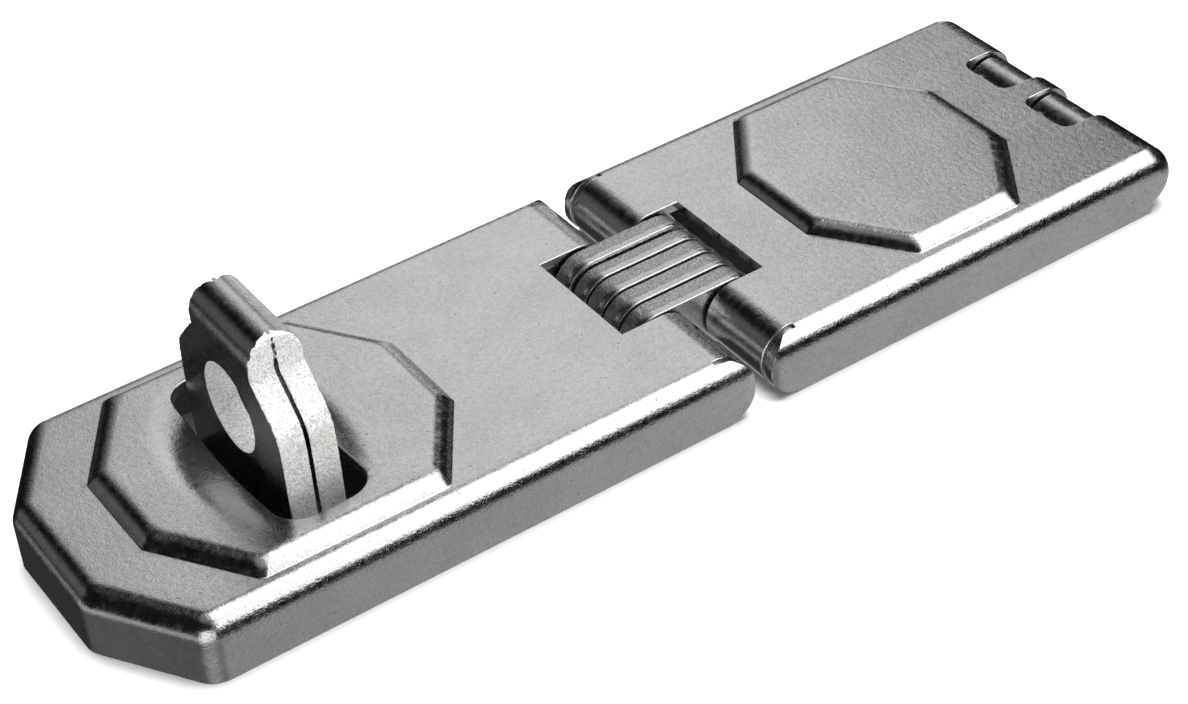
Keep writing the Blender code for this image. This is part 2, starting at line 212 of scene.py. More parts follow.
def octagon(pad):
    """The corners of a pad's foot: straight ends and sides, with clipped corners."""
    x0, x1, clip = pad["start"], pad["end"], pad["clip"]
    half, end_half = pad["half"], pad["end_half"]
    return [(x0, -end_half), (x0 + clip, -half), (x1 - clip, -half), (x1, -end_half),
            (x1, end_half), (x1 - clip, half), (x0 + clip, half), (x0, end_half)]


# ---------------------------------------------------------------- solids

pieces = bpy.data.collections.new("pieces")
cutters = bpy.data.collections.new("cutters")
for group in (pieces, cutters):
    bpy.context.scene.collection.children.link(group)


def to_object(name, built, where=None):
    """Write a mesh made in millimetres to a new object, in metres."""
    bmesh.ops.recalc_face_normals(built, faces=built.faces)
    bmesh.ops.scale(built, vec=(MM, MM, MM), verts=built.verts)
    mesh = bpy.data.meshes.new(name)
    built.to_mesh(mesh)
    built.free()
    made = bpy.data.objects.new(name, mesh)
    (where or cutters).objects.link(made)
    return made


def ring_of(built, points):
    """New vertices at the points."""
    return [built.verts.new(point) for point in points]


def strip(built, lower, upper):
    """Quads between two matching rings."""
    for i in range(len(lower)):
        built.faces.new((lower[i - 1], lower[i], upper[i], upper[i - 1]))


def stack(built, rings):
    """Join matching rings of points, one after another; the rings of vertices are returned."""
    made = [ring_of(built, ring) for ring in rings]
    for lower, upper in zip(made, made[1:]):
        strip(built, lower, upper)
    return made


def lofted(name, rings):
    """A solid through matching rings of points, closed at the first and the last."""
    built = bmesh.new()
    made = stack(built, rings)
    built.faces.new(made[0])
    built.faces.new(made[-1])
    return to_object(name, built)


def prism(name, outline, low, high):
    """An outline in X and Y made solid from low to high in Z."""
    return lofted(name, [[(x, y, z) for x, y in outline] for z in (low, high)])


def crosswise(name, outline, reach):
    """An outline in X and Z made solid across the leaf, as far as reach to each side."""
    return lofted(name, [[(x, y, z) for x, z in outline] for y in (-reach, reach)])


def turned(name, profile, x, y=None, z=None, steps=64):
    """A solid turned about Z at (x, y), or about Y at (x, z), from (radius, place) points."""
    rings = []
    for radius, place in profile:
        circle = arc((0.0, 0.0), radius, 0, 360, steps)[:-1]
        if z is None:
            rings.append([(x + a, y + b, place) for a, b in circle])
        else:
            rings.append([(x + a, place, z + b) for a, b in circle])
    return lofted(name, rings)


def swept(name, section, start_x, pin_x, facing, end=150, steps=40):
    """A closed section in Y and radius, led along the flat top and then round a rolled end."""
    frames = [(pin_x, end * i / steps) for i in range(steps + 1)]
    if start_x is not None:
        frames.insert(0, (start_x, 0.0))
    rings = []
    for x, angle in frames:
        lean = math.radians(angle)
        rings.append([(x + facing * radius * math.sin(lean), y, AXIS_Z + radius * math.cos(lean))
                      for y, radius in section])
    return lofted(name, rings)


def combine(target, other, operation):
    """Cut, join or trim the target by another solid at once."""
    modifier = target.modifiers.new(operation, "BOOLEAN")
    modifier.operation = operation
    modifier.solver = "MANIFOLD"
    modifier.object = other
    applied(target)
    bpy.data.objects.remove(other)


def applied(piece):
    """Give the piece its evaluated mesh and drop its modifiers."""
    bpy.context.view_layer.update()
    evaluated = piece.evaluated_get(bpy.context.evaluated_depsgraph_get())
    mesh = bpy.data.meshes.new_from_object(evaluated)
    piece.modifiers.clear()
    piece.data = mesh


def mark(piece, chosen):
    """Give the second material to the faces for which chosen(centre, normal) is true."""
    for face in piece.data.polygons:
        face.material_index = int(bool(chosen(face.center / MM, face.normal)))


def mark_painted_shade(leaf, pins):
    """Give the second material, a near-black painted shade, to a leaf's underside and to all that
    looks at the leaf itself.
    """
    built = bmesh.new()
    built.from_mesh(leaf.data)
    tree = BVHTree.FromBMesh(built)
    built.free()

    def inside(centre, normal):
        on_roll = any((centre.x - x) * facing > 0 for x, facing in pins)
        if on_roll:
            return False
        hit = tree.ray_cast(centre * MM + normal * 0.05 * MM, normal)[0]
        # Faces looking down or back at the leaf get the painted shade.
        return normal.z < -0.3 or (hit is not None and abs(normal.z) < 0.3)

    mark(leaf, inside)


def finish(piece, materials, body, node):
    """Clean and shade a piece, and let it ride on its body in place of its plain solid."""
    if piece.name not in pieces.objects:
        cutters.objects.unlink(piece)
        pieces.objects.link(piece)
    clean = bmesh.new()
    clean.from_mesh(piece.data)
    bmesh.ops.remove_doubles(clean, verts=clean.verts, dist=WELD * MM)
    bmesh.ops.dissolve_degenerate(clean, dist=WELD / 2 * MM, edges=clean.edges)
    clean.to_mesh(piece.data)
    clean.free()
    kinds = [face.material_index for face in piece.data.polygons]
    piece.data.materials.clear()
    for material in materials:
        piece.data.materials.append(material)
    piece.data.polygons.foreach_set("material_index", kinds)
    piece.data.shade_smooth()
    piece.data.set_sharp_from_angle(angle=SMOOTH_BELOW)
    weighted = piece.modifiers.new("even_normals", "WEIGHTED_NORMAL")
    weighted.mode = "FACE_AREA"
    weighted.weight = 60
    weighted.keep_sharp = True
    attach(piece, body)
    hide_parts(node)


# ---------------------------------------------------------------- pressed leaves

def wave(x, y, seed):
    """The slight waviness of pressed sheet."""
    return 0.014 * noise.noise(Vector((x / 11, y / 11, seed))) + 0.005 * noise.noise(
        Vector((x / 4, y / 4, seed + 5)))


def field(built, outer, hole, pitch, height):
    """Fill a ring, or the space between two, with a fine mesh that follows height(x, y)."""
    rings = [ring for ring in (outer, hole) if ring]
    verts = [vert for ring in rings for vert in ring]
    edges = []
    for ring in rings:
        base = verts.index(ring[0])
        edges += [(base + i, base + (i + 1) % len(ring)) for i in range(len(ring))]
    xs = [vert.co.x for vert in outer]
    ys = [vert.co.y for vert in outer]
    rows = int((max(ys) - min(ys)) / (pitch * 0.87))
    columns = int((max(xs) - min(xs)) / pitch)
    inner = [(min(xs) + (i + 0.5 * (j % 2)) * pitch, min(ys) + j * pitch * 0.87)
             for i in range(columns + 1) for j in range(rows + 1)]
    outside_hole = depth(inner, hole) < -pitch * 0.5 if hole else True
    keep = (depth(inner, outer) > pitch * 0.5) & outside_hole
    inner = [point for point, kept in zip(inner, keep) if kept]
    flat = [Vector((vert.co.x, vert.co.y)) for vert in verts] + [Vector(point) for point in inner]
    points, _, faces, origins, _, _ = delaunay_2d_cdt(flat, edges, [], 1, 1e-5)
    mapped = []
    for point, origin in zip(points, origins):
        source = origin[0] if origin else len(flat)
        fresh = source >= len(verts)
        mapped.append(built.verts.new((*point, height(*point))) if fresh else verts[source])
    middles = [tuple(sum((points[i] for i in face), Vector((0.0, 0.0))) / len(face))
               for face in faces]
    in_hole = depth(middles, hole) > 0 if hole else [False] * len(faces)
    for face, skipped in zip(faces, in_hole):
        if not skipped:
            built.faces.new([mapped[i] for i in face])


def depth(points, ring):
    """How far each point lies inside a convex ring; below zero outside it."""
    corners = np.array([(vert.co.x, vert.co.y) for vert in ring])
    following = np.roll(corners, -1, axis=0)
    sides = following - corners
    turn = np.sum(corners[:, 0] * following[:, 1] - corners[:, 1] * following[:, 0])
    lengths = np.linalg.norm(sides, axis=1)
    keep = lengths > 1e-9
    offset = np.array(points)[:, None, :] - corners[None, keep]
    cross = sides[keep, 0] * offset[:, :, 1] - sides[keep, 1] * offset[:, :, 0]
    return np.min(np.sign(turn) * cross / lengths[keep], axis=1)


def pad_rings(pad, skin):
    """Rings of a pressed pad from its foot to its top; skin is their depth below its face."""
    back = PAD_CREASE * math.tan(math.radians(PAD_STEEP / 2))
    steep = math.radians(PAD_STEEP)
    steps = [(math.radians(angle), True) for angle in (0, 15, 30, 45, PAD_STEEP)]
    steps += [(math.radians(PAD_STEEP - 4 - 7 * i), False) for i in range(9)]
    rings = []
    for angle, crease in steps:
        if crease:
            inwards = (PAD_CREASE + skin) * math.sin(angle) - back
            z = HEIGHT + PAD_CREASE - (PAD_CREASE + skin) * math.cos(angle)
        else:
            inwards = PAD_ARC * math.sin(steep) - (PAD_ARC - skin) * math.sin(angle)
            z = PAD_TOP - PAD_ARC + (PAD_ARC - skin) * math.cos(angle)
        corner = 1.3 + 0.75 * max(inwards, 0.0)
        outline = rounded(inset(octagon(pad), inwards), corner, 6, 6)
        rings.append([(x, y, z) for x, y in outline])
    return rings


def leaf_solid(name, corners, pad, skin, seed, dish=None):
    """The space under a leaf's outer face, or, for a skin, under the face that deep inside it."""
    edge = TOP_ROUND - skin
    corner = CORNER_ROUND - skin
    sides = inset(corners, skin)
    ease = arc((0.0, 0.0), edge, 0, 90)
    levels = [(0.0, -OVER / 2)] + [(edge - a, HEIGHT - TOP_ROUND + b) for a, b in ease]
    built = bmesh.new()
    rings = []
    for inwards, z in levels:
        outline = rounded(inset(sides, inwards), max(corner - inwards, 0.15), 8, 24)
        rings.append([(x, y, z) for x, y in outline])
    wall = stack(built, rings)
    built.faces.new(wall[0])
    rise = stack(built, pad_rings(pad, skin))
    field(built, wall[-1], rise[0], 1.3, lambda x, y: HEIGHT - skin)
    if dish:
        lip = stack(built, slot_rings(skin, dish))
        field(built, rise[-1], lip[0], 0.8, lambda x, y: PAD_TOP - skin - dish(x, y))
        built.faces.new(lip[-1])
    else:
        field(built, rise[-1], None, 1.3, lambda x, y: PAD_TOP - skin)
    for vert in built.verts:
        if vert.co.z > HEIGHT - 2 * TOP_ROUND:
            vert.co.z += wave(vert.co.x, vert.co.y, seed)
    return to_object(name, built)


def slot_dish(x, y):
    """How far the sheet is drawn down towards the long sides of the staple's slot."""
    across = (x - SLOT_X) * (DISH_PINCH if x > SLOT_X else 1.0)
    inside = max(DISH_REACH[0] - math.hypot(across, y * DISH_REACH[0] / DISH_REACH[1]), 0.0)
    if inside < DISH_BEND:
        return DISH_SLOPE * inside ** 2 / (2 * DISH_BEND)
    return DISH_SLOPE * (inside - DISH_BEND / 2)


def slot_outline(grow):
    """The staple's slot, grown on every side."""
    corners = rectangle(SLOT_X - SLOT_HALF_X, SLOT_X + SLOT_HALF_X, -SLOT_HALF_Y, SLOT_HALF_Y)
    return rounded(inset(corners, -grow), SLOT_ROUND + grow, 8, 20)


def slot_rings(skin, dish):
    """Rings round the slot, over its rounded lip and down inside it."""
    rings = []
    eased = ((LIP, 0.0), (LIP * 0.62, 0.08), (LIP * 0.29, 0.29), (LIP * 0.07, 0.63), (-0.1, 1.2))
    for grow, drop in eased:
        face = PAD_TOP - skin - LIP * drop
        rings.append([(x, y, face - dish(x, y)) for x, y in slot_outline(grow)])
    return rings


def roll_profile(start_x, pins):
    """The leaf's side view: flat below, high over the pads, and round at each rolled end.

    Each pin is its place in X with the way its rolled end faces; a leaf with one rolled end has
    its square end at start_x.
    """
    outline = []
    for x, facing in pins:
        if facing > 0:
            outline += [(x, HEIGHT + 2 * OVER)] + arc((x, AXIS_Z), ROLL, 90, -90, 48)
        else:
            outline += arc((x, AXIS_Z), ROLL, 270, 90, 48) + [(x, HEIGHT + 2 * OVER)]
    if start_x is not None:
        outline += [(start_x, 0.0), (start_x, HEIGHT + 2 * OVER)]
    return outline


def lip_cutter(y, side, start_x, pin_x, facing, radius=LIP, end=150):
    """Rounds the edge at y of a rolled end; the sheet lies on that side of y."""
    middle_y, level = y + side * radius, ROLL - radius + 0.01
    ease = arc((middle_y, level), radius, 90 + 90 * side, 90 + 6 * side, 4 + int(3 * radius))
    outer = y - side * 0.3
    section = [(outer, level)] + ease + [(middle_y, ROLL + OVER), (outer, ROLL + OVER)]
    return swept("lip", section, start_x, pin_x, facing, end)


def groove_cutter(y, pin_x, facing):
    """The slit between the rolled sheet and the leaf's side wall, with worn rims."""
    half = 0.40
    deep = 0.55
    ease = 0.22
    level = ROLL - ease + 0.01
    left = arc((y - half - ease, level), ease, 84, 0, 3)
    right = arc((y + half + ease, level), ease, 180, 96, 3)
    section = ([(y - half - ease, ROLL + OVER)] + left + [(y - half * 0.6, ROLL - deep),
               (y + half * 0.6, ROLL - deep)] + right + [(y + half + ease, ROLL + OVER)])
    return swept("groove", section, pin_x - facing * 0.5, pin_x, facing, 165)


def bore_cutter(x, z, reach):
    """The bore for a pin along Y, as far as reach to each side."""
    return turned("bore", [(BORE, -reach), (BORE, reach)], x, z=z, steps=40)


def open_rolls(leaf, hollow, pins):
    """Take the hollow from the leaf, but leave the rolled ends round their bores."""
    for x, _ in pins:
        roll = turned("roll", [(ROLL, -HALF), (ROLL, HALF)], x, z=AXIS_Z)
        combine(hollow, roll, "DIFFERENCE")
    combine(leaf, hollow, "DIFFERENCE")
    for x, _ in pins:
        combine(leaf, bore_cutter(x, AXIS_Z, HALF - SHEET), "DIFFERENCE")


def notch(leaf, corners, pin_x, facing):
    """Cut the notch for the link, and ease the edges of the rolled ends beside it."""
    combine(leaf, prism("notch", corners, -OVER, PAD_TOP + OVER), "DIFFERENCE")
    start = corners[0][0] if facing > 0 else corners[1][0]
    for side in (-1, 1):
        combine(leaf, lip_cutter(side * NOTCH_HALF, side, start, pin_x, facing), "DIFFERENCE")
        combine(leaf, groove_cutter(side * GROOVE_Y, pin_x, facing), "DIFFERENCE")
        ear = lip_cutter(side * HALF, -side, pin_x - facing * 0.5, pin_x, facing, EAR_ROUND, 170)
        combine(leaf, ear, "DIFFERENCE")


def make_hasp_leaf(materials):
    """The long leaf: clipped nose, pad, slot for the staple, and one rolled end."""
    corners = [(HASP_HIGH.x + OVER, HALF), (NOSE_X + NOSE_CLIP, HALF), (NOSE_X, NOSE_HALF),
               (NOSE_X, -NOSE_HALF), (NOSE_X + NOSE_CLIP, -HALF), (HASP_HIGH.x + OVER, -HALF)]
    pins = [(HASP_PIN_X, 1)]
    leaf = leaf_solid("hasp_shell", corners, HASP_PAD, 0.0, 1.0, slot_dish)
    profile = roll_profile(NOSE_X - OVER, pins)
    combine(leaf, crosswise("profile", profile, HALF + OVER), "INTERSECT")
    corners[0] = (HASP_PIN_X + SHEET, HALF)
    corners[-1] = (HASP_PIN_X + SHEET, -HALF)
    hollow = leaf_solid("hasp_hollow", corners, HASP_PAD, SHEET, 1.0, slot_dish)
    open_rolls(leaf, hollow, pins)
    combine(leaf, prism("slot", slot_outline(0.01), HEIGHT / 2, PAD_TOP + OVER), "DIFFERENCE")
    edges = rectangle(HASP_NOTCH_X, HASP_HIGH.x + OVER, -NOTCH_HALF, NOTCH_HALF)
    notch(leaf, edges, HASP_PIN_X, 1)
    mark_painted_shade(leaf, pins)
    finish(leaf, materials, "hasp", "hasp_leaf")


def make_cover_leaf(materials):
    """The short leaf: pad, a rolled end for the link and a rolled end with the hinge's windows."""
    corners = [(COVER_HIGH.x + OVER, HALF), (COVER_LOW.x - OVER, HALF),
               (COVER_LOW.x - OVER, -HALF), (COVER_HIGH.x + OVER, -HALF)]
    pins = [(HINGE_PIN_X, 1), (COVER_PIN_X, -1)]
    leaf = leaf_solid("cover_shell", corners, COVER_PAD, 0.0, 7.0)
    combine(leaf, crosswise("profile", roll_profile(None, pins), HALF + OVER), "INTERSECT")
    corners = [(HINGE_PIN_X + SHEET, HALF), (COVER_PIN_X - SHEET, HALF),
               (COVER_PIN_X - SHEET, -HALF), (HINGE_PIN_X + SHEET, -HALF)]
    open_rolls(leaf, leaf_solid("cover_hollow", corners, COVER_PAD, SHEET, 7.0), pins)
    edges = rectangle(COVER_LOW.x - OVER, COVER_NOTCH_X, -NOTCH_HALF, NOTCH_HALF)
    notch(leaf, edges, COVER_PIN_X, -1)
    for side in (-1, 1):
        near, far = sorted(side * y for y in WINDOW_Y)
        open_end = COVER_HIGH.x + OVER + WINDOW_ROUND
        window = rounded(rectangle(WINDOW_X, open_end, near, far), WINDOW_ROUND)
        combine(leaf, prism("window", window, -OVER, PAD_TOP + OVER), "DIFFERENCE")
        room = rectangle(HINGE_HIGH.x - 2 * KNUCKLE - 3.0, open_end, near, far)
        combine(leaf, prism("knuckle_room", room, -OVER, HEIGHT - SHEET), "DIFFERENCE")
        for edge, lean in ((near, -1), (far, 1)):
            start = WINDOW_X + WINDOW_ROUND
            combine(leaf, lip_cutter(edge, lean, start, HINGE_PIN_X, 1), "DIFFERENCE")
        corner = lip_cutter(side * HALF, -side, None, HINGE_PIN_X, 1, TOP_ROUND + 0.02, 180)
        combine(leaf, corner, "DIFFERENCE")
    mark_painted_shade(leaf, pins)
    finish(leaf, materials, "cover", "cover_leaf")


# ---------------------------------------------------------------- link, staple and hinge plate

def link_section(thickness, worn):
    """Places across a stamped plate with the depth of its cut edge and how torn it is there."""
    half = thickness / 2
    section = [(-half, 0.22, 0.0), (-half + 0.03, 0.10, 0.0), (-half + 0.09, 0.03, 0.0),
               (-half + 0.18, 0.0, 0.0), (-half + 0.6, 0.0, 0.0), (-half + 1.1, 0.0, 0.1),
               (-half + 1.22, 0.05, 0.7), (-half + 1.5, 0.07, 1.0), (-half + 1.8, 0.08, 1.0),
               (-half + 2.1, 0.09, 1.0), (-half + 2.4, 0.10, 1.0)]
    if worn:
        return section + [(half - 0.72, 0.14, 1.0), (half - 0.55, 0.30, 0.6),
                          (half - 0.42, 0.55, 0.3), (half, 0.70, 0.2)]
    return section + [(-half + 2.7, 0.11, 1.0), (half - 0.28, 0.12, 0.9), (half - 0.12, 0.15, 0.6),
                      (half, 0.24, 0.2)]


def make_link_plate(number, materials):
    """An upright stadium plate, with the smooth and the torn band of its stamped edge."""
    node = "link_plate_%d" % number
    low, high = box(node)
    centre = (low + high) / 2
    radius = (high.z - low.z) / 2
    reach = (high.x - low.x) / 2 - radius
    outline = []
    for side in (1, -1):
        bend = arc((side * reach, 0.0), 1.0, 90 - 180 * (side < 0), -90 - 180 * (side < 0), 48)
        if outline:
            outline += between(outline[-1], bend[0], 44)
        outline += bend
    outline += between(outline[-1], outline[0], 44)
    rings = []
    for y, sunk, rough in link_section(high.y - low.y, number == WIDE_GAP_AFTER):
        ring = []
        for x, z in outline:
            axis = max(-reach, min(reach, x))
            out = Vector((x - axis, z)).normalized()
            place = Vector((axis + out.x * radius, y, out.y * radius + number * 20))
            grit = 0.06 * noise.noise(place * 2.1) + 0.035 * noise.noise(place * 4.5)
            ripple = 0.015 * noise.noise(Vector((place.x * 1.5, number * 7, place.z * 1.5)))
            level = radius - sunk + rough * grit + ripple
            wander = rough * 0.10 * noise.noise(Vector((place.x * 0.9, number * 5, place.z * 0.9)))
            ring.append((axis + out.x * level, y + wander, out.y * level))
        rings.append(ring)
    plate = lofted("plate_of_link_%d" % number, rings)
    for x in (-reach, reach):
        combine(plate, bore_cutter(x, 0.0, OVER), "DIFFERENCE")
    mark(plate, lambda place, normal: place.y > TORN_BAND and abs(normal.y) < 0.8)
    plate.location = centre * MM
    finish(plate, materials, "link", node)


def staple_outline():
    """Half the staple's width against its height: wide below, and narrow above its shoulders."""
    outline = [(STAPLE_HALF, 0.0)]
    outline += arc((STAPLE_HALF - SHOULDER_ROUND, SHOULDER_LOW), SHOULDER_ROUND, 0, SHOULDER_TURN)
    outline.append((STAPLE_TOP_HALF, SHOULDER_HIGH))
    corner = STAPLE_HIGH.z - STAPLE_CORNER
    outline += arc((STAPLE_TOP_HALF - STAPLE_CORNER, corner), STAPLE_CORNER, 0, 90)
    return np.array(outline)


def staple_half(z):
    """Half the staple's width at height z."""
    return float(np.interp(z, STAPLE_OUTLINE[:, 1], STAPLE_OUTLINE[:, 0]))


def strip_stations():
    """Pairs of outer and inner points along the folded strip: foot, leg, fold, leg and foot."""
    inner = SLIT / 2
    fold = (0.0, STAPLE_HIGH.z - FOLD)
    bend = (FOLD + FOOT_BEND, STRIP + FOOT_BEND)
    pairs = [((FOOT + (bend[0] - FOOT) * i / 9, STRIP), (FOOT + (bend[0] - FOOT) * i / 9, 0.0))
             for i in range(9)]
    pairs += zip(arc(bend, FOOT_BEND, 270, 180, 12), arc(bend, FOOT_BEND + STRIP, 270, 180, 12))
    legs = [bend[1] + (fold[1] - bend[1]) * i / 74 for i in range(1, 74)]
    pairs += [((FOLD, z), (inner, z)) for z in legs]
    pairs += zip(arc(fold, FOLD, 0, 90, 26), arc(fold, inner, 0, 90, 26))
    return pairs + [((-a[0], a[1]), (-b[0], b[1])) for a, b in reversed(pairs[:-1])]


STAPLE_OUTLINE = staple_outline()


def folded_strip():
    """The staple's strip before it is pierced, with its torn edges as fine relief."""
    shares = [0.0, 0.012, 0.035, 0.07, 0.12, 0.19, 0.27, 0.36, 0.45, 0.54, 0.63, 0.72, 0.81, 0.88,
              0.94, 0.98, 1.0]
    rings = []
    for outer, inner in strip_stations():
        ring = []
        for side in (-1, 1):
            edge = []
            for share in shares:
                x, z = Vector(outer).lerp(Vector(inner), share)
                place = Vector((x, side * 40, z))
                torn = min(max((z - TORN_ABOVE) / 6, 0.15), 1.0)
                chip = 0.30 * torn * max(noise.noise(place * 1.7) + 0.25, 0.0)
                round_off = 0.22 + chip
                near_edge = min(share, (1 - share) * 1.4) * STRIP
                drop = round_off * (1 - math.sqrt(1 - (1 - min(near_edge / round_off, 1.0)) ** 2))
                grit = torn * (0.24 * noise.noise(place * 1.3) + 0.14 * noise.noise(place * 3.4))
                relief = grit * min(near_edge / 0.3, 1.0) - drop - 0.14 * torn
                y = side * (staple_half(z) + relief)
                edge.append((STAPLE_X + x, y, z))
            ring += edge[::side]
        rings.append(ring)
    return lofted("folded_staple", rings)


def rough_eye():
    """The cutter for the staple's eye: a punched wall, flared where it meets the faces."""
    ease = 0.22
    rings = []
    for i in range(41):
        x = (FOLD + 0.5) * (i / 20 - 1)
        ring = []
        for y, z in arc((0.0, EYE_Z), 1.0, 0, 360, 90)[:-1]:
            out = Vector((y, z - EYE_Z))
            place = Vector((x * 1.4, out.x * EYE * 1.1, out.y * EYE * 1.1))
            flare = ease * max(1 - max(FOLD - abs(x), 0.0) / ease, 0.0) ** 2
            reach = EYE - 0.05 + 0.06 * noise.noise(place) + 0.04 * noise.noise(place * 2.6) + flare
            ring.append((STAPLE_X + x, out.x * reach, EYE_Z + out.y * reach))
        rings.append(ring)
    return lofted("eye", rings)


def screw_hole(name, x, y, top):
    """A countersunk hole from the face at height top down through the plate."""
    sink = SCREW_HEAD - SCREW
    profile = [(SCREW_HEAD, top + OVER), (SCREW_HEAD, top - 0.1), (SCREW, top - 0.1 - sink),
               (SCREW, -OVER)]
    return turned(name, profile, x, y, steps=40)


def make_staple(materials):
    """The folded strip with its eye and the screw holes in its feet."""
    staple = folded_strip()
    combine(staple, rough_eye(), "DIFFERENCE")
    for reach, y in ((a, b) for a in (-1, 1) for b in (-1, 1)):
        hole = screw_hole("foot_hole", STAPLE_X + reach * FOOT_HOLE[0], y * FOOT_HOLE[1], STRIP)
        combine(staple, hole, "DIFFERENCE")

    def cut(place, normal):
        """Whether a face is on the strip's stamped edge or the wall of its eye."""
        in_slit = abs(place.x - STAPLE_X) < SLIT / 2 + 0.01
        at_edge = abs(place.y) > staple_half(place.z) - 0.7
        in_eye = math.hypot(place.y, place.z - EYE_Z) < EYE + 0.1
        upright = place.z > STRIP + FOOT_BEND and abs(normal.x) < 0.75
        return upright and not in_slit and (at_edge or in_eye)

    mark(staple, cut)
    finish(staple, materials, "staple", "staple")


def make_hinge_plate(material):
    """The plate under the cover, with its two knuckles and four countersunk holes."""
    corners = rectangle(HINGE_LOW.x, HINGE_PIN_X - ROLL - GAP, HINGE_LOW.y, HINGE_HIGH.y)
    ease = 0.5
    eased = arc((0.0, 0.0), ease, 0, 90, 3)
    levels = [(0.0, 0.0)] + [(ease - a, PLATE - ease + b) for a, b in eased]
    rings = []
    for inwards, z in levels:
        outline = rounded(inset(corners, inwards), PLATE_ROUND - inwards, 10)
        rings.append([(x, y, z) for x, y in outline])
    plate = lofted("plate_of_hinge", rings)
    length = WINDOW_Y[1] - WINDOW_Y[0] - 2 * GAP
    centre = (WINDOW_Y[0] + WINDOW_Y[1]) / 2
    for side in (-1, 1):
        near, far = side * centre - length / 2, side * centre + length / 2
        root = HINGE_PIN_X - ROLL - GAP - 2 * PLATE
        tongue = rectangle(root, HINGE_PIN_X, near, far)
        combine(plate, prism("tongue", tongue, AXIS_Z - KNUCKLE, PLATE - 0.01), "UNION")
        ends = [(KNUCKLE - LIP + b, LIP - a) for a, b in arc((0.0, 0.0), LIP, 0, 90, 3)]
        profile = [(r, near + d) for r, d in ends] + [(r, far - d) for r, d in reversed(ends)]
        combine(plate, turned("knuckle", profile, HINGE_PIN_X, z=AXIS_Z, steps=96), "UNION")
    combine(plate, bore_cutter(HINGE_PIN_X, AXIS_Z, HALF), "DIFFERENCE")
    for x in PLATE_HOLES_X:
        for y in (-PLATE_HOLE_Y, PLATE_HOLE_Y):
            combine(plate, screw_hole("plate_hole", x, y, PLATE), "DIFFERENCE")
    finish(plate, [material], "base", "hinge_plate")


# ---------------------------------------------------------------- materials

class Tree:
    """Short calls that add nodes to a node tree and link them."""

    def __init__(self, tree):
        self.tree = tree
        tree.nodes.clear()

    def add(self, kind, sockets=None, **settings):
        """A new node, with its sockets linked or set and its settings made."""
        made = self.tree.nodes.new(kind)
        for key, value in settings.items():
            setattr(made, key, value)
        for key, value in (sockets or {}).items():
            if isinstance(value, bpy.types.NodeSocket):
                self.tree.links.new(value, made.inputs[key])
            else:
                made.inputs[key].default_value = value
        return made

    def math(self, operation, first, second=0.0):
        return self.add("ShaderNodeMath", {0: first, 1: second}, operation=operation).outputs[0]

    def smooth(self, value, start, end, low=0.0, high=1.0):
        """A smooth step of value, from low at start to high at end."""
        sockets = {"Value": value, "From Min": start, "From Max": end,
                   "To Min": low, "To Max": high}
        return self.add("ShaderNodeMapRange", sockets,
                        interpolation_type="SMOOTHSTEP").outputs[0]

    def noise(self, place, size, detail=2.0, rough=0.5):
        """Noise with features of about that size in millimetres, from 0 to 1."""
        sockets = {"Vector": place, "Scale": 1 / (size * MM), "Detail": detail, "Roughness": rough}
        return self.add("ShaderNodeTexNoise", sockets).outputs["Fac"]

    def mix(self, factor, first, second):
        made = self.add("ShaderNodeMix", {0: factor, 6: first, 7: second}, data_type="RGBA")
        return made.outputs[2]


def grey(level, warm=0.0):
    """A grey, a little warmer where warm is above zero."""
    return (level * (1 + warm), level, level * (1 - warm), 1.0)


